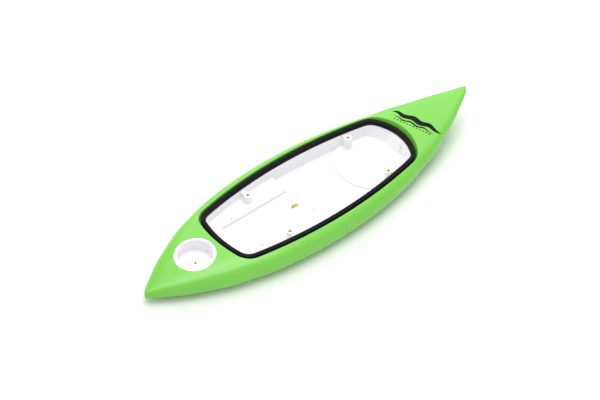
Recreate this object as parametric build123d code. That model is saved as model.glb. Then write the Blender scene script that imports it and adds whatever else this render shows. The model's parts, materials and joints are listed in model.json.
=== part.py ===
"""A decked model canoe hull, ready for its running gear and its cockpit cover.

The hull is two thin mouldings, a bottom and a deck, that meet along a seam at the rail and are bonded to a
strip inside it on each side. A white tub hangs in the cockpit opening with its flange on the deck's ledge, and
a rubber gasket lies on the flange. Four brass threaded inserts in the tub's pillars take the cover's screws.
A brass tube runs from the tub's floor down through the bottom, a round well sits in the stern deck on a post,
and foam fills the ends.

Millimetres. X points to the bow, Y to port and Z up. The origin is under the middle of the hull, on the flat
that it stands on.
"""
import os
from math import cos, hypot, pi, radians, sin, tan

from build123d import *

# Hull: overall sizes
length = 500.0
beam = 149.0
wall = 2.0
seam_gap = 0.1

# Hull: plan shape
beam_station = -10.0
bow_fullness, stern_fullness = 2.0, 2.4
end_sharpness = 0.9
nose_radius, nose_reach, nose_flat = 2.0, 10.0, 0.8

# Hull: heights of the deck, the rail and the keel, amidships and at the two ends
deck_mid, deck_bow, deck_stern = 33.6, 44.0, 16.5
rail_mid, rail_bow, rail_stern = 16.0, 41.0, 11.5
keel_mid, keel_bow, keel_stern = -0.6, 37.0, 6.5
deck_bow_bend, deck_bow_power = 110.0, 2.0
deck_stern_bend, deck_stern_power = 132.0, 2.0
keel_bend, keel_bend_power = 60.0, 3.0
rail_bow_power, rail_stern_power = 3.0, 2.0

# Hull: how square the section is amidships, above and below the rail, and how much rounder it is at the tips
deck_squareness, bottom_squareness = 0.888, 0.909
end_roundness = 0.25

# Bonding strips inside the seam
strip_thickness, strip_height = 1.5, 6.0
strip_gap = 0.8
strip_bow_gap, strip_stern_gap = 3.0, 6.0

# Cockpit opening in the deck, at the gasket's outer edge
opening_bow, opening_stern = 147.0, -140.5
side_margin = 14.0
opening_station = -6.0
opening_side_radius = 590.0
opening_bow_radius, opening_stern_radius = 70.0, 150.0
bow_corner_radius, stern_corner_radius = 23.0, 21.0

# Ledge, flange and gasket, one above the other
flange_seat = 24.5
ledge_thickness, ledge_width = 2.0, 5.0
coaming_width = 3.5
flange_thickness, flange_clearance = 1.5, 0.1
gasket_width, gasket_height, gasket_round = 6.0, 5.4, 1.4
rebate_draft = 20.0

# Tub
tub_wall, tub_clearance = 2.0, 0.4
bow_floor, stern_floor, channel_floor = 9.5, 17.0, 12.7
step_station = -15.0
channel_width, channel_stern = 49.0, -115.0
side_draft, bow_lean, lean_shift = 3.0, 25.0, 0.3
dais_station, dais_radius, dais_height = 104.0, 51.0, 2.5
pad_width, pad_depth, pad_top = 22.5, 2.6, 24.5

# Pillars for the cover screws, and their inserts
bow_pillars_station, bow_pillars_from_wall = 92.7, 7.4
stern_pillars_station, stern_pillars_from_wall = -62.6, 11.0
pillar_radius, pillar_rise = 4.8, 0.9
web_thickness, web_drop = 6.0, 1.2
insert_radius, insert_length, insert_bore = 2.3, 6.0, 1.5
insert_bevel, insert_clearance, insert_proud = 0.3, 0.05, 0.1
screw_room = 3.0

# Screw holes in the tub's floor
floor_hole_radius = 0.9
stern_holes_station, stern_holes_span = -96.5, 56.8
bow_holes_station, bow_holes_span = -6.0, 29.6

# Drive tube
tube_station = -22.7
tube_outer, tube_bore, tube_clearance = 3.0, 2.5, 0.1
tube_angle = 28.0
tube_proud = 0.2

# Round well in the stern deck, and the post that it stands on
well_station = -174.6
well_rim, well_radius, well_wall = 25.4, 21.6, 1.8
well_lip_depth = 3.0
well_floor, well_base = 17.0, 2.0
well_clearance = 0.1
well_hole_radius = 1.5
well_seat_radius, well_seat_depth = 4.2, 0.5
post_radius, post_hole_radius, post_gap = 4.5, 1.25, 0.1

# Foam in the ends
foam_clearance = 0.6
foam_gap = 6.0
bow_foam_margin, stern_foam_margin = 24.0, 14.0

# How finely the curved forms are drawn
HULL_STATIONS, FOAM_STATIONS = 10, 3

# Solid length at each tip, how far a cutting form runs past the seam, and a length beyond the whole hull
TIP_LENGTH = 9.0
SKIRT = 6.0
FAR = 400.0

# Worked out from the sizes above
outer_ends = (-length / 2, length / 2)
inner_ends = (-length / 2 + TIP_LENGTH, length / 2 - TIP_LENGTH)
opening_half_width = beam / 2 - side_margin
gasket_seat = flange_seat + flange_thickness
tub_inset = ledge_width + tub_clearance + tub_wall
foam_ends = (well_station - well_rim - foam_gap, opening_bow + foam_gap)
pillar_top = gasket_seat + pillar_rise


def half_beam(x):
    """Half the hull's breadth at x: a full curve to each end, with a small round at the tip."""
    bow_side = x > beam_station
    run = length / 2 - beam_station if bow_side else length / 2 + beam_station
    share = min(abs(x - beam_station) / run, 1.0)
    fullness = bow_fullness if bow_side else stern_fullness
    plain = beam / 2 * (1 - share ** fullness) ** end_sharpness
    to_tip = (1 - share) * run
    nose = 2 * nose_radius * to_tip / (1 + (to_tip / nose_reach) ** 2)
    return hypot(plain, nose ** 0.5, nose_flat / 2)


def rail_height(x):
    """Height of the hull's broadest line, where the two mouldings meet."""
    if x > beam_station:
        share = (x - beam_station) / (length / 2 - beam_station)
        return rail_mid + (rail_bow - rail_mid) * share ** rail_bow_power
    share = (beam_station - x) / (length / 2 + beam_station)
    return rail_mid + (rail_stern - rail_mid) * share ** rail_stern_power


def bent_height(x, middle, end, bend, power):
    """A height that is level amidships and runs to the tip's height past the bend."""
    share = max(0.0, (abs(x) - bend) / (length / 2 - bend))
    return middle + (end - middle) * share ** power


def deck_height(x):
    """Height of the deck on the centreline."""
    if x > 0:
        return bent_height(x, deck_mid, deck_bow, deck_bow_bend, deck_bow_power)
    return bent_height(x, deck_mid, deck_stern, deck_stern_bend, deck_stern_power)


def keel_height(x):
    """Height of the bottom on the centreline, before the flat is cut."""
    return bent_height(x, keel_mid, keel_bow if x > 0 else keel_stern, keel_bend, keel_bend_power)


def half_section(x, skin, above, gap=seam_gap):
    """Upper or lower half of the hull's section at x, a skin's thickness inside: a round on each side."""
    side = half_beam(x) - skin
    if above:
        rail, square = rail_height(x) + gap / 2, deck_squareness
        end = deck_height(x) - skin
    else:
        rail, square = rail_height(x) - gap / 2, bottom_squareness
        end = keel_height(x) + skin
    square -= end_roundness * (2 * x / length) ** 2
    port = [(x, side, rail), (x, side, rail + square * (end - rail)), (x, square * side, end), (x, 0, end)]
    starboard = [(x, -y, z) for _, y, z in reversed(port)]
    return [Bezier(*port), Bezier(*starboard)]


def stations(stern, bow, count=HULL_STATIONS):
    """Places along the hull, closer together towards the ends."""
    middle, half = (bow + stern) / 2, (bow - stern) / 2
    return [middle + half * sin(pi / 2 * step / count) for step in range(-count, count + 1)]


def half_hull(skin, stern, bow, above, skirt=0.0):
    """The hull above or below its seam as one solid, carried past the seam by the skirt's height."""
    wires = []
    for x in stations(stern, bow):
        edges = half_section(x, skin, above)
        port, starboard = edges[0] @ 0, edges[1] @ 1
        if skirt:
            past = Vector(0, 0, -skirt if above else skirt)
            edges += Polyline(starboard, starboard + past, port + past, port).edges()
        else:
            edges.append(Line(starboard, port))
        wires.append(Wire(edges))
    return Solid.make_loft(wires)


def build_foam(stern, bow):
    """Foam that fills one end of the hull between two stations."""
    skin = wall + foam_clearance
    wires = [Wire(half_section(x, skin, True, 0) + half_section(x, skin, False, 0))
             for x in stations(stern, bow, FOAM_STATIONS)]
    return Solid.make_loft(wires, ruled=True)


def block(xs, ys, zs):
    """A plain box between three pairs of limits."""
    size = [high - low for low, high in (xs, ys, zs)]
    middle = [(high + low) / 2 for low, high in (xs, ys, zs)]
    return Pos(*middle) * Box(*size)


def column(x, y, radius, low, high):
    """An upright cylinder between two heights."""
    return Pos(x, y, low) * Cylinder(radius, high - low, align=(Align.CENTER, Align.CENTER, Align.MIN))


def corner_centre(end_centre, end_radius, corner_radius, outward):
    """Centre of the round that joins the port side's arc to an end's arc, inside both."""
    side_centre = Vector(opening_station, opening_half_width - opening_side_radius)
    to_side, to_end = opening_side_radius - corner_radius, end_radius - corner_radius
    line = end_centre - side_centre
    along = (to_side ** 2 - to_end ** 2 + line.length ** 2) / (2 * line.length)
    off = outward * (to_side ** 2 - along ** 2) ** 0.5
    unit = line.normalized()
    return side_centre + unit * along + Vector(unit.Y, -unit.X) * off


def arc(centre, radius, from_way, to_way):
    """Arc about a centre, between two directions less than half a turn apart."""
    first, last = from_way.normalized(), to_way.normalized()
    return ThreePointArc(*[centre + way * radius for way in (first, (first + last).normalized(), last)])


def opening(inset):
    """The cockpit opening's outline, drawn in by inset: an arc on each side and end, and four rounds."""
    side_centre = Vector(opening_station, opening_half_width - opening_side_radius)
    edges, side_ways = [], []
    ends = (
        (opening_bow, opening_bow_radius, bow_corner_radius, 1),
        (opening_stern, opening_stern_radius, stern_corner_radius, -1),
    )
    for tip, radius, corner_radius, outward in ends:
        end_centre = Vector(tip - outward * radius, 0)
        corner = corner_centre(end_centre, radius, corner_radius, outward)
        side_way, end_way = corner - side_centre, corner - end_centre
        port_round = arc(corner, corner_radius - inset, side_way, end_way)
        edges += [port_round, mirror(port_round, Plane.XZ)]
        edges.append(arc(end_centre, radius - inset, end_way, Vector(end_way.X, -end_way.Y)))
        side_ways.append(side_way)
    port_side = arc(side_centre, opening_side_radius - inset, *side_ways)
    edges += [port_side, mirror(port_side, Plane.XZ)]
    return make_face(edges)


def prism(inset, low, high):
    """The opening's outline as an upright solid between two heights."""
    return extrude(Pos(0, 0, low) * opening(inset), amount=high - low)


def tube_rod(radius):
    """A long rod on the drive tube's axis, which meets the channel's floor at the tube's station."""
    return Pos(tube_station, 0, channel_floor) * Rot(0, 90 - tube_angle, 0) * Cylinder(radius, FAR / 2)


def pillar_places():
    """Name and place of each pillar."""
    pairs = (
        ("bow", bow_pillars_station, bow_pillars_from_wall),
        ("stern", stern_pillars_station, stern_pillars_from_wall),
    )
    for end, x, from_wall in pairs:
        arc_height = (opening_side_radius ** 2 - (x - opening_station) ** 2) ** 0.5
        y = opening_half_width - opening_side_radius + arc_height - tub_inset - from_wall
        yield f"{end}_port", x, y
        yield f"{end}_starboard", x, -y


def build_deck():
    """Deck moulding: the skin above the seam, with the coaming and the ledge that the tub hangs on."""
    cavity = half_hull(wall, *inner_ends, True, SKIRT)
    cavity -= prism(-coaming_width, flange_seat - ledge_thickness, FAR)
    rebate = extrude(Pos(0, 0, flange_seat) * opening(0), amount=deck_bow, taper=-rebate_draft)
    cuts = [cavity, rebate, prism(ledge_width, 0, FAR)]
    cuts.append(column(well_station, 0, well_rim + well_clearance, rail_stern, FAR))
    return half_hull(0, *outer_ends, True) - cuts


def build_bottom():
    """Bottom moulding: the skin below the seam, flat underneath, with the post that the well stands on."""
    post_top = well_floor - well_base - post_gap
    cavity = half_hull(wall, *inner_ends, False, SKIRT)
    cavity -= block((-FAR, FAR), (-FAR, FAR), (-FAR, wall))
    cavity -= column(well_station, 0, post_radius, 0, post_top)
    cuts = [cavity, block((-FAR, FAR), (-FAR, FAR), (-FAR, 0)), tube_rod(tube_outer + tube_clearance)]
    cuts.append(column(well_station, 0, post_hole_radius, post_top - 8, FAR))
    return half_hull(0, *outer_ends, False) - cuts


def build_strip(side):
    """Bonding strip inside the seam on one side."""
    wires = []
    for x in stations(foam_ends[0] + strip_stern_gap, foam_ends[1] - strip_bow_gap):
        outer = half_beam(x) - wall - strip_gap
        low, high = rail_height(x) - strip_height / 2, rail_height(x) + strip_height / 2
        ys = [side * outer, side * (outer - strip_thickness)]
        wires.append(Wire(Polyline((x, ys[0], low), (x, ys[0], high), (x, ys[1], high), (x, ys[1], low),
                                   close=True).edges()))
    return Solid.make_loft(wires)


def tub_form(grow):
    """The tub's hollow, or with the wall's thickness to grow by, its outer form below the flange."""
    rim = Pos(0, 0, gasket_seat) * opening(tub_inset - grow)
    drop = gasket_seat - bow_floor + grow
    form = extrude(rim, amount=drop, dir=(0, 0, -1), taper=side_draft)
    slope, radius = tan(radians(bow_lean)), opening_bow_radius - tub_inset + grow
    end = Circle(radius) + Pos(-FAR / 2, 0) * Rectangle(FAR, 2 * radius)
    lean_x = opening_bow - opening_bow_radius + lean_shift + drop * slope
    form &= extrude(Pos(lean_x, 0, gasket_seat + drop) * end, amount=3 * drop, dir=(-slope, 0, -1))
    half_channel = channel_width / 2 + grow
    raised = block((-FAR, step_station - grow), (-FAR, FAR), (-FAR, stern_floor - grow))
    raised -= block((channel_stern - grow, FAR), (-half_channel, half_channel), (channel_floor - grow, FAR))
    return form - raised


def tub_hollow():
    """The room inside the tub, less the dais in its bow and the pad on its bow wall."""
    dais = Circle(dais_radius) + Pos(FAR / 2, 0) * Rectangle(FAR, 2 * dais_radius)
    hollow = tub_form(0) - Pos(dais_station, 0, 0) * extrude(dais, amount=bow_floor + dais_height)
    slope = tan(radians(bow_lean))
    face_low = opening_bow - tub_inset - pad_depth - (gasket_seat - bow_floor) * slope
    face_high = face_low + (pad_top - bow_floor) * slope
    side = Polyline((face_low, 0, bow_floor), (face_high, 0, pad_top), (FAR, 0, pad_top), (FAR, 0, bow_floor),
                    close=True)
    return hollow - extrude(make_face(side), amount=pad_width / 2, dir=(0, 1, 0), both=True)


def build_tub():
    """Cockpit tub: flange, drafted walls, two floor levels, channel, dais, pad and the screws' pillars."""
    hollow, tops, cuts = tub_hollow(), [], []
    for _, x, y in pillar_places():
        outboard = (y, FAR) if y > 0 else (-FAR, y)
        along = (x - web_thickness / 2, x + web_thickness / 2)
        web = block(along, outboard, (bow_floor, pillar_top - web_drop))
        hollow -= [column(x, y, pillar_radius, bow_floor, pillar_top), web]
        tops.append(column(x, y, pillar_radius, gasket_seat - 1, pillar_top))
        seat = pillar_top + insert_proud - insert_length
        cuts.append(column(x, y, insert_radius + insert_clearance, seat, FAR))
        cuts.append(column(x, y, insert_bore, seat - screw_room, FAR))
    for x, span in ((stern_holes_station, stern_holes_span), (bow_holes_station, bow_holes_span)):
        cuts += [column(x, y, floor_hole_radius, 0, stern_floor + 1) for y in (span / 2, -span / 2)]
    cuts.append(tube_rod(tube_outer + tube_clearance) & block((-FAR, FAR), (-FAR, FAR), (0, flange_seat)))
    tub = tub_form(tub_wall) + prism(flange_clearance, flange_seat, gasket_seat)
    return tub + tops - [hollow, *cuts]


def build_gasket():
    """Rubber gasket on the flange, with its top edges rounded."""
    gasket = prism(flange_clearance, gasket_seat, gasket_seat + gasket_height)
    gasket -= prism(gasket_width, 0, FAR)
    return fillet(gasket.faces().sort_by(Axis.Z)[-1].edges(), gasket_round)


def build_insert(x, y):
    """Brass threaded insert, its bore bevelled at the mouth."""
    top = pillar_top + insert_proud
    insert = column(x, y, insert_radius, top - insert_length, top) - column(x, y, insert_bore, 0, FAR)
    mouth = insert.edges().filter_by(GeomType.CIRCLE).group_by(Axis.Z)[-1].sort_by(SortBy.RADIUS)[0]
    return chamfer(mouth, insert_bevel)


def build_well():
    """Round well: a cup with a lip that follows the deck, and a seat for its screw."""
    deck_form = half_hull(0, *outer_ends, True)
    blank = column(well_station, 0, well_rim, well_floor - well_base, FAR) & deck_form
    under = column(well_station, 0, well_rim + 1, 0, FAR)
    under -= column(well_station, 0, well_radius + well_wall, 0, FAR)
    blank -= under & (Pos(0, 0, -well_lip_depth) * deck_form)
    cuts = [column(well_station, 0, well_radius, well_floor, FAR)]
    cuts.append(column(well_station, 0, well_hole_radius, 0, FAR))
    cuts.append(column(well_station, 0, well_seat_radius, well_floor - well_seat_depth, FAR))
    return blank - cuts


def build_tube():
    """Brass drive tube, cut level with the channel's floor and with the hull's flat."""
    rod = tube_rod(tube_outer) - tube_rod(tube_bore)
    return rod & block((-FAR, FAR), (-FAR, FAR), (0, channel_floor + tube_proud))


pieces = {
    "bottom_hull": build_bottom(),
    "deck_shell": build_deck(),
    "seam_strip_port": build_strip(1),
    "seam_strip_starboard": build_strip(-1),
    "cockpit_tub": build_tub(),
    "cockpit_gasket": build_gasket(),
    "stern_well": build_well(),
    "drive_tube": build_tube(),
    "bow_foam": build_foam(foam_ends[1], length / 2 - bow_foam_margin),
    "stern_foam": build_foam(-length / 2 + stern_foam_margin, foam_ends[0]),
}
for place, pillar_x, pillar_y in pillar_places():
    pieces[f"insert_{place}"] = build_insert(pillar_x, pillar_y)

os.makedirs("parts", exist_ok=True)
for name, piece in pieces.items():
    export_step(piece, f"parts/{name}.step")
    print(f"{name}: {piece.volume:.0f} mm3")
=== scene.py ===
# %% [markdown]
# # A decked model canoe hull
# The hull is a glossy green moulding, about half a metre long and pointed at both ends. A white tub sits in
# its cockpit behind a black rubber gasket, and a round white well sits in the stern deck. The hull could be
# modelled again here from its outlines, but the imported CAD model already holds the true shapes, so it is loaded
# first and stays fixed. Every surface then gets its finish, and some pieces are modelled again with the soft
# edges and small features that a moulded or machined piece has.

# %% Load the fixed frame
import json
from math import atan2, cos, pi, radians, sin

import bpy
from mathutils import Matrix, Vector

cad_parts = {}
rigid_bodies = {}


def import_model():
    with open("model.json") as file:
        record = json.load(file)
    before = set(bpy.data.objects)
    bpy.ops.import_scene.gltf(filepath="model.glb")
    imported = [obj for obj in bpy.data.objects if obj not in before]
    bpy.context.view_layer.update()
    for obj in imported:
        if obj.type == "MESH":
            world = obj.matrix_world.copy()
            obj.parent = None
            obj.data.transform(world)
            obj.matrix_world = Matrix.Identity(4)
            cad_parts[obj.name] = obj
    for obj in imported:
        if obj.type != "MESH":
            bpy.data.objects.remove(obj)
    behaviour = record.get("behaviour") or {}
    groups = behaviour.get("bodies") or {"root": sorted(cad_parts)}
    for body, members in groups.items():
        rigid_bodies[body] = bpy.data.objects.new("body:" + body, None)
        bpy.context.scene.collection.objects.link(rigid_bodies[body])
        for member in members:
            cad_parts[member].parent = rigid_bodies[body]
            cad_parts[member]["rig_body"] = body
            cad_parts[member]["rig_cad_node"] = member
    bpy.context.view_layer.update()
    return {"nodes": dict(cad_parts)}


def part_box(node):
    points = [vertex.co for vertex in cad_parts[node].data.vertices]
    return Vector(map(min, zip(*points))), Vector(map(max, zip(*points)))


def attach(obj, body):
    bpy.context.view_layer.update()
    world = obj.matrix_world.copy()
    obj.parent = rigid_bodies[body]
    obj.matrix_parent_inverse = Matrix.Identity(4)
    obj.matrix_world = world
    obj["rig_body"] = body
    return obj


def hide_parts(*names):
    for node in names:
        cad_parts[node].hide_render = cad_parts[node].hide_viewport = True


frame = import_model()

MM = 0.001
nodes = frame["nodes"]
print("nodes loaded:", len(nodes))

# %% [markdown]
# ## Camera
# The hull is seen from above and from its starboard stern quarter, through a long lens from four metres away,
# so that its two ends look about the same size. A camera can be aimed by a Track To constraint at an empty.
# Here it is placed by its bearing, its height above the horizon and its distance, so that each can be changed
# alone and no helper object is left in the scene.

# %% Camera
bearing, elevation, roll = radians(-39.593), radians(44.854), radians(-0.443)
distance, lens, sensor_width = 4.181, 209.3, 36
nearest, farthest = 0.05, 30
look_right, look_up = -11.162 * MM, 3.778 * MM
look_height = 2.7 * MM

forward = Vector((-sin(bearing) * cos(elevation), cos(bearing) * cos(elevation), -sin(elevation)))
level_right = Vector((cos(bearing), sin(bearing), 0))
level_up = level_right.cross(forward)
right = level_right * cos(roll) + level_up * sin(roll)
up = level_up * cos(roll) - level_right * sin(roll)

camera = bpy.data.objects.new("camera", bpy.data.cameras.new("camera"))
bpy.context.scene.collection.objects.link(camera)
camera.data.lens = lens
camera.data.sensor_width = sensor_width
camera.data.clip_start, camera.data.clip_end = nearest, farthest
place = right * look_right + up * look_up - forward * distance + Vector((0, 0, look_height))
camera.matrix_world = Matrix.Translation(place) @ Matrix((right, up, -forward)).transposed().to_4x4()
bpy.context.scene.camera = camera
print("camera at", [round(value, 3) for value in place])

# %% [markdown]
# ## Floor and light
# The hull lies on a white table in a bright, even studio. Sharp lamps such as spots or a sun would draw hard
# shadows, so most of the light comes from a white sky and a wide lamp overhead. A nearer lamp beyond the bow
# makes that end the brighter one and leaves a faint shadow on the near side. The floor lies a hair below the
# flat that the hull stands on, so that the two surfaces never share a plane.

# %% Floor
floor_size, floor_drop = 12.0, 0.2 * MM
bpy.ops.mesh.primitive_plane_add(size=floor_size, location=(0, 0, -floor_drop))
floor = bpy.context.object
floor.name = "floor"
print("floor at", -floor_drop)

# %% Lamps and sky
sky_colour, sky_strength = (1, 1, 1, 1), 0.76
scene = bpy.context.scene
scene.view_settings.view_transform = "Standard"
scene.view_settings.look = "None"
scene.world = scene.world or bpy.data.worlds.new("studio")
scene.world.use_nodes = True
sky = scene.world.node_tree.nodes["Background"]
sky.inputs["Color"].default_value = sky_colour
sky.inputs["Strength"].default_value = sky_strength


def add_lamp(name, place, aim, size, watts):
    """Adds a square soft lamp at place that shines towards aim."""
    lamp = bpy.data.objects.new(name, bpy.data.lights.new(name, "AREA"))
    scene.collection.objects.link(lamp)
    lamp.data.size, lamp.data.energy = size, watts
    lamp.location = place
    lamp.rotation_euler = (Vector(aim) - Vector(place)).to_track_quat("-Z", "Y").to_euler()


add_lamp("overhead", place=(0, 0.1, 2.6), aim=(0, 0, 0), size=1.6, watts=22)
add_lamp("bow_key", place=(0.56, 0.56, 0.88), aim=(0.12, 0, 0), size=1.4, watts=5.8)

# %% [markdown]
# ## Shared effects
# Real mouldings are never one flat colour. Painted image maps could show that, but noise nodes need no file and
# have no seams. Two effects are used by several finishes, so each is built once as a group of shader nodes with
# its own inputs: a slow drift of colour and gloss over the surface, and a fine texture that tilts the light a
# little. Both read the object's own coordinates in metres, so they stay put on every view.


# %% Node helpers
def link_noise(tree, scale, detail, coordinates):
    """A noise pattern in a node tree, with its scale fed by a socket or set as a number."""
    noise = tree.nodes.new("ShaderNodeTexNoise")
    noise.inputs["Detail"].default_value = detail
    tree.links.new(coordinates, noise.inputs["Vector"])
    if isinstance(scale, (int, float)):
        noise.inputs["Scale"].default_value = scale
    else:
        tree.links.new(scale, noise.inputs["Scale"])
    return noise.outputs["Fac"]


def remap(tree, value, from_range, to_range):
    """Stretches a value from one range to another, and holds it inside the second."""
    node = tree.nodes.new("ShaderNodeMapRange")
    tree.links.new(value, node.inputs["Value"])
    for label, number in zip(("From Min", "From Max", "To Min", "To Max"), (*from_range, *to_range)):
        node.inputs[label].default_value = number
    return node.outputs["Result"]


def mix_colours(tree, factor, first, second):
    """Mixes two colours, each a socket or a colour."""
    node = tree.nodes.new("ShaderNodeMix")
    node.data_type = "RGBA"
    tree.links.new(factor, node.inputs[0])
    for socket, colour in ((node.inputs[6], first), (node.inputs[7], second)):
        if isinstance(colour, tuple):
            socket.default_value = (*colour, 1)
        else:
            tree.links.new(colour, socket)
    return node.outputs[2]


def start_group(name, inputs, outputs):
    """An empty shader node group with named sockets."""
    group = bpy.data.node_groups.new(name, "ShaderNodeTree")
    for label, kind, value in inputs:
        socket = group.interface.new_socket(label, in_out="INPUT", socket_type=kind)
        if value is not None:
            socket.default_value = value
    for label, kind in outputs:
        group.interface.new_socket(label, in_out="OUTPUT", socket_type=kind)
    return group, group.nodes.new("NodeGroupInput"), group.nodes.new("NodeGroupOutput")


# %% Group: slow drift of colour and gloss
drift, into, out = start_group(
    "surface_drift",
    [("Scale", "NodeSocketFloat", 12.0),
     ("Colour", "NodeSocketColor", None), ("Shade", "NodeSocketColor", None),
     ("Roughness Low", "NodeSocketFloat", 0.2), ("Roughness High", "NodeSocketFloat", 0.3)],
    [("Colour", "NodeSocketColor"), ("Roughness", "NodeSocketFloat")],
)
here = drift.nodes.new("ShaderNodeTexCoord").outputs["Object"]
wide_detail, wide_range = 3, (0.32, 0.68)
smear_scale, smear_detail, smear_range = 95, 4, (0.3, 0.7)
wide = link_noise(drift, into.outputs["Scale"], wide_detail, here)
share = remap(drift, wide, wide_range, (0, 1))
drift_colour = mix_colours(drift, share, into.outputs["Colour"], into.outputs["Shade"])
drift.links.new(drift_colour, out.inputs["Colour"])
smears = link_noise(drift, smear_scale, smear_detail, here)
gloss = drift.nodes.new("ShaderNodeMapRange")
drift.links.new(smears, gloss.inputs["Value"])
gloss.inputs["From Min"].default_value, gloss.inputs["From Max"].default_value = smear_range
drift.links.new(into.outputs["Roughness Low"], gloss.inputs["To Min"])
drift.links.new(into.outputs["Roughness High"], gloss.inputs["To Max"])
drift.links.new(gloss.outputs["Result"], out.inputs["Roughness"])
print("group:", drift.name, "with", len(drift.nodes), "nodes")

# %% Group: fine moulded grain
grain, into, out = start_group(
    "moulded_grain",
    [("Scale", "NodeSocketFloat", 900.0), ("Ripple Scale", "NodeSocketFloat", 60.0),
     ("Ripple Share", "NodeSocketFloat", 0.5)],
    [("Height", "NodeSocketFloat")],
)
here = grain.nodes.new("ShaderNodeTexCoord").outputs["Object"]
fine_detail, ripple_detail = 2, 1
fine = link_noise(grain, into.outputs["Scale"], fine_detail, here)
ripple = link_noise(grain, into.outputs["Ripple Scale"], ripple_detail, here)
heights = grain.nodes.new("ShaderNodeMix")
grain.links.new(into.outputs["Ripple Share"], heights.inputs[0])
grain.links.new(fine, heights.inputs[2])
grain.links.new(ripple, heights.inputs[3])
grain.links.new(heights.outputs[0], out.inputs["Height"])
print("group:", grain.name, "with", len(grain.nodes), "nodes")


# %% [markdown]
# ## Finishes
# The hull and the white mouldings are glossy plastics, the gasket is a dull rubber with a little bloom, the
# inserts and the tube are turned brass, and the foam is matt and grainy. Each could be its own hand-made node
# tree. One helper that feeds a Principled shader from the two groups keeps them alike, and a finish is then a
# single call with its numbers.


# %% Finish helper
relief_depth = 0.4 * MM


def finish(name, colour, shade, roughness, drift_scale=12.0, grain_scale=900.0, ripple_share=0.5,
           bump=0.05, **constants):
    """A material with drifting colour and gloss and a fine bump. The constants are plain shader inputs."""
    material = bpy.data.materials.new(name)
    material.use_nodes = True
    tree = material.node_tree
    shader = tree.nodes["Principled BSDF"]
    surface = tree.nodes.new("ShaderNodeGroup")
    surface.node_tree = drift
    surface.inputs["Scale"].default_value = drift_scale
    surface.inputs["Colour"].default_value = (*colour, 1)
    surface.inputs["Shade"].default_value = (*shade, 1)
    surface.inputs["Roughness Low"].default_value = roughness[0]
    surface.inputs["Roughness High"].default_value = roughness[1]
    tree.links.new(surface.outputs["Colour"], shader.inputs["Base Color"])
    tree.links.new(surface.outputs["Roughness"], shader.inputs["Roughness"])
    texture = tree.nodes.new("ShaderNodeGroup")
    texture.node_tree = grain
    texture.inputs["Scale"].default_value = grain_scale
    texture.inputs["Ripple Share"].default_value = ripple_share
    relief = tree.nodes.new("ShaderNodeBump")
    relief.inputs["Strength"].default_value = bump
    relief.inputs["Distance"].default_value = relief_depth
    tree.links.new(texture.outputs["Height"], relief.inputs["Height"])
    tree.links.new(relief.outputs["Normal"], shader.inputs["Normal"])
    for label, value in constants.items():
        shader.inputs[label.replace("_", " ")].default_value = value
    return material


# %% The six finishes
green_paint = finish("green_paint", (0.195, 0.64, 0.06), (0.175, 0.60, 0.05), (0.24, 0.34),
                     drift_scale=9, ripple_share=0.8, bump=0.06, Coat_Weight=0.35, Coat_Roughness=0.14)
white_plastic = finish("white_plastic", (0.93, 0.925, 0.945), (0.90, 0.892, 0.92), (0.28, 0.38),
                       drift_scale=20, bump=0.05)
black_rubber = finish("black_rubber", (0.0045, 0.004, 0.0052), (0.007, 0.0064, 0.0078), (0.5, 0.62),
                      drift_scale=60, grain_scale=1600, ripple_share=0.2, bump=0.25,
                      Specular_IOR_Level=0.1)
turned_brass = finish("turned_brass", (0.84, 0.72, 0.42), (0.76, 0.62, 0.33), (0.2, 0.34),
                      drift_scale=300, grain_scale=3000, bump=0.1, Metallic=1.0)
white_foam = finish("white_foam", (0.72, 0.71, 0.68), (0.62, 0.61, 0.58), (0.75, 0.9),
                    drift_scale=200, grain_scale=600, ripple_share=0.1, bump=0.6)
table_white = finish("table_white", (0.93, 0.93, 0.93), (0.92, 0.92, 0.92), (0.6, 0.7),
                     drift_scale=3, bump=0.01)
floor.data.materials.append(table_white)
print("finishes:", [material.name for material in bpy.data.materials])


# %% Finishes on the carried-over pieces
def paint_piece(piece, material):
    """Gives a piece one finish all over."""
    piece.data.materials.clear()
    piece.data.materials.append(material)


carried_over = {
    green_paint: ("bottom_hull", "deck_shell"),
    white_plastic: ("seam_strip_port", "seam_strip_starboard"),
    white_foam: ("bow_foam", "stern_foam"),
    black_rubber: ("cockpit_gasket",),
    turned_brass: ("drive_tube",),
}
for material, names in carried_over.items():
    for name in names:
        paint_piece(nodes[name], material)
    print(material.name, "on", names)

# %% [markdown]
# ## Softened mouldings
# The tub and the well come out of a mould, so no edge on them is truly sharp. They could be built again from a
# cube or a cylinder, but a copy of the CAD piece has every wall in its place already. The copy's loose
# triangles are merged, flat areas are cleared of spare edges, and a narrow bevel rounds every edge. The CAD
# piece stays as it is, hidden, and the copy stands for it.


# %% Soften helper
def only(piece):
    """Selects one object alone and makes it active."""
    bpy.ops.object.select_all(action="DESELECT")
    piece.select_set(True)
    bpy.context.view_layer.objects.active = piece


def apply_all(piece):
    """Applies the modifiers of a piece in order."""
    only(piece)
    for modifier in list(piece.modifiers):
        bpy.ops.object.modifier_apply(modifier=modifier.name)


def adopt(piece, material, slot, *replaced):
    """Finishes a new piece: gives it its material and its body, and hides the CAD nodes that it stands for. The
    slot is not used.
    """
    paint_piece(piece, material)
    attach(piece, "root")
    if replaced:
        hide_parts(*replaced)
    print(piece.name, "has", len(piece.data.polygons), "faces")


merge_gap, flat_angle, bevel_steps = 0.005 * MM, radians(0.5), 2


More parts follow.
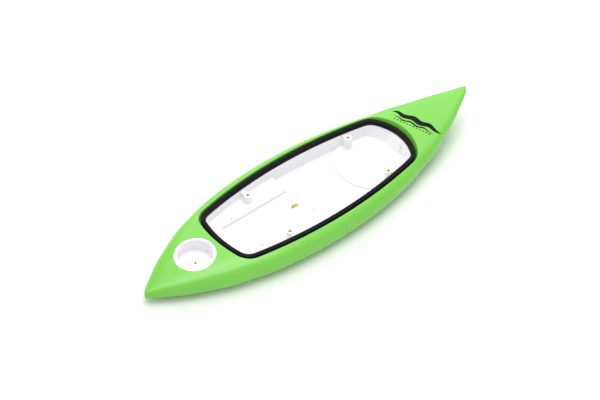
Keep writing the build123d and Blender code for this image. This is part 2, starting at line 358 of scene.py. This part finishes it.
def soften(node, name, width, corner=radians(28)):
    """A copy of a CAD node with its edges rounded by a narrow bevel."""
    only(nodes[node])
    bpy.ops.object.duplicate()
    piece = bpy.context.object
    piece.name = name
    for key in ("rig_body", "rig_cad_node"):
        if key in piece:
            del piece[key]
    piece.parent = None
    bpy.ops.object.mode_set(mode="EDIT")
    bpy.ops.mesh.select_all(action="SELECT")
    bpy.ops.mesh.remove_doubles(threshold=merge_gap)
    bpy.ops.mesh.dissolve_limited(angle_limit=flat_angle)
    bpy.ops.object.mode_set(mode="OBJECT")
    rounding = piece.modifiers.new("edge_round", "BEVEL")
    rounding.width, rounding.segments = width, bevel_steps
    rounding.limit_method, rounding.angle_limit = "ANGLE", corner
    rounding.use_clamp_overlap = False
    apply_all(piece)
    bpy.ops.object.shade_smooth_by_angle(angle=corner)
    return piece


# %% Tub and well
tub_bevel, well_bevel = 0.45 * MM, 0.4 * MM
tub = soften("cockpit_tub", "moulded_tub", tub_bevel)
adopt(tub, white_plastic, "white_moulding", "cockpit_tub")
well = soften("stern_well", "moulded_well", well_bevel)
adopt(well, white_plastic, "white_moulding", "stern_well")

# %% [markdown]
# ## Threaded inserts
# Each insert is turned from brass bar and threaded for a 3 mm screw. A real thread is a helix, which the Screw
# modifier can make, but at this size closed ridges look the same and leave a clean solid. So each insert is
# built as on a lathe: a circle at the bottom of the bore is extruded ring by ring, up the thread's ridges, over
# the bevelled mouth and down the outside, until it meets its first ring again.

# %% Lathe helper
lathe_sides, ring_gap, turned_edge = 40, 0.002 * MM, radians(25)


def lathe(name, x, y, rings):
    """A closed turned piece from a list of (radius, height) rings, the last the same as the first."""
    bpy.ops.object.select_all(action="DESELECT")
    radius, height = rings[0]
    bpy.ops.mesh.primitive_circle_add(vertices=lathe_sides, radius=radius, location=(x, y, height))
    piece = bpy.context.object
    piece.name = name
    bpy.ops.object.transform_apply(location=True, rotation=False, scale=False)
    bpy.ops.object.mode_set(mode="EDIT")
    bpy.ops.mesh.select_all(action="SELECT")
    for next_radius, next_height in rings[1:]:
        bpy.ops.mesh.extrude_edges_move(TRANSFORM_OT_translate={"value": (0, 0, next_height - height)})
        grow = next_radius / radius
        bpy.ops.transform.resize(value=(grow, grow, 1), center_override=(x, y, next_height))
        radius, height = next_radius, next_height
    bpy.ops.mesh.select_all(action="SELECT")
    bpy.ops.mesh.remove_doubles(threshold=ring_gap)
    bpy.ops.mesh.normals_make_consistent(inside=False)
    bpy.ops.object.mode_set(mode="OBJECT")
    bpy.ops.object.shade_smooth_by_angle(angle=turned_edge)
    return piece


# %% The four inserts
bore, ridge, pitch = 1.5 * MM, 0.18 * MM, 0.5 * MM
bevel, collar = 0.3 * MM, 0.12 * MM
for node in sorted(name for name in nodes if name.startswith("insert_")):
    low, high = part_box(node)
    middle, outer = (low + high) / 2, (high.x - low.x) / 2
    rings = [(bore, low.z)]
    turns = int((high.z - low.z - bevel) / pitch)
    for turn in range(turns):
        start = low.z + turn * pitch
        rings += [(bore - ridge, start + pitch / 2), (bore, start + pitch)]
    rings += [(bore, high.z - bevel), (bore + bevel, high.z)]
    rings += [(outer - collar, high.z), (outer, high.z - collar), (outer, low.z), (bore, low.z)]
    insert = lathe(f"threaded_{node}", middle.x, middle.y, rings)
    adopt(insert, turned_brass, "brass", node)

# %% [markdown]
# ## Bow graphic
# The bow deck carries a dark graphic: a plain water motif of two waves and a row of drops, cut from thin
# vinyl. It could be a mask in the deck's own finish, but vinyl is a piece with an edge that catches the light.
# So a wave starts as a flat grid whose points follow a sine, and a drop as a flat disc. A Shrinkwrap modifier
# lays them on the deck, and Solidify gives them their thickness.

# %% Vinyl and its place
vinyl = finish("dark_vinyl", (0.004, 0.006, 0.004), (0.007, 0.009, 0.007), (0.3, 0.4),
               drift_scale=80, grain_scale=1500, ripple_share=0.3, bump=0.05, Specular_IOR_Level=0.08)
graphic_middle = Vector((0.168, -0.0013, 0))
graphic_run = (18 * MM, -63 * MM)
graphic_turn = atan2(graphic_run[1], graphic_run[0])
vinyl_thickness, vinyl_lift = 0.08 * MM, 0.03 * MM
above_deck, vinyl_edge = Vector((0, 0, 100 * MM)), radians(40)


def lay_on_deck(piece):
    """Turns a flat shape to the graphic's place, lays it on the deck and gives it its thickness."""
    only(piece)
    piece.location = graphic_middle + above_deck
    piece.rotation_euler = (0, 0, graphic_turn)
    bpy.ops.object.transform_apply(location=True, rotation=True, scale=True)
    wrap = piece.modifiers.new("lay", "SHRINKWRAP")
    wrap.target = nodes["deck_shell"]
    wrap.wrap_method = "PROJECT"
    wrap.use_project_z, wrap.use_negative_direction, wrap.use_positive_direction = True, True, False
    wrap.offset = vinyl_lift
    thick = piece.modifiers.new("thickness", "SOLIDIFY")
    thick.thickness, thick.offset = vinyl_thickness, 1
    apply_all(piece)
    bpy.ops.object.shade_smooth_by_angle(angle=vinyl_edge)


wave_steps, cross_steps = 120, 4
point_share, point_power = 0.02, 0.6


def wave(name, length, width, height, crests, offset):
    """A flat wave along X that tapers towards a point at each end."""
    bpy.ops.object.select_all(action="DESELECT")
    bpy.ops.mesh.primitive_grid_add(x_subdivisions=wave_steps, y_subdivisions=cross_steps, size=1)
    piece = bpy.context.object
    piece.name = name
    for vertex in piece.data.vertices:
        share = vertex.co.x + 0.5
        taper = max(sin(pi * share), point_share) ** point_power
        swing = sin(2 * pi * crests * share) * height
        vertex.co = Vector(((share - 0.5) * length, offset + swing + vertex.co.y * width * taper, 0))
    return piece


# %% Two waves
# name: length, width, height of a crest and offset across, in millimetres
wave_crests = 3.0
wave_sizes = {"bow_wave_large": (70, 7.6, 1.3, 1.6), "bow_wave_small": (58, 2.2, 1.1, -5.2)}
for name, (length, width, height, offset) in wave_sizes.items():
    band = wave(name, length * MM, width * MM, height * MM, wave_crests, offset * MM)
    lay_on_deck(band)
    adopt(band, vinyl, "gasket_rubber")

# %% A row of drops
drop_count, drop_span, drop_size = 12, 50 * MM, 1.9 * MM
drop_offset, drop_sides = -8.8 * MM, 20
drops = []
for number in range(drop_count):
    bpy.ops.object.select_all(action="DESELECT")
    along = (number / (drop_count - 1) - 0.5) * drop_span
    bpy.ops.mesh.primitive_circle_add(vertices=drop_sides, radius=drop_size / 2, fill_type="TRIFAN",
                                      location=(along, drop_offset, 0))
    drops.append(bpy.context.object)
for drop in drops:
    drop.select_set(True)
bpy.context.view_layer.objects.active = drops[0]
bpy.ops.object.join()
drops[0].name = "bow_drops"
bpy.ops.object.transform_apply(location=True, rotation=True, scale=True)
lay_on_deck(drops[0])
adopt(drops[0], vinyl, "gasket_rubber")
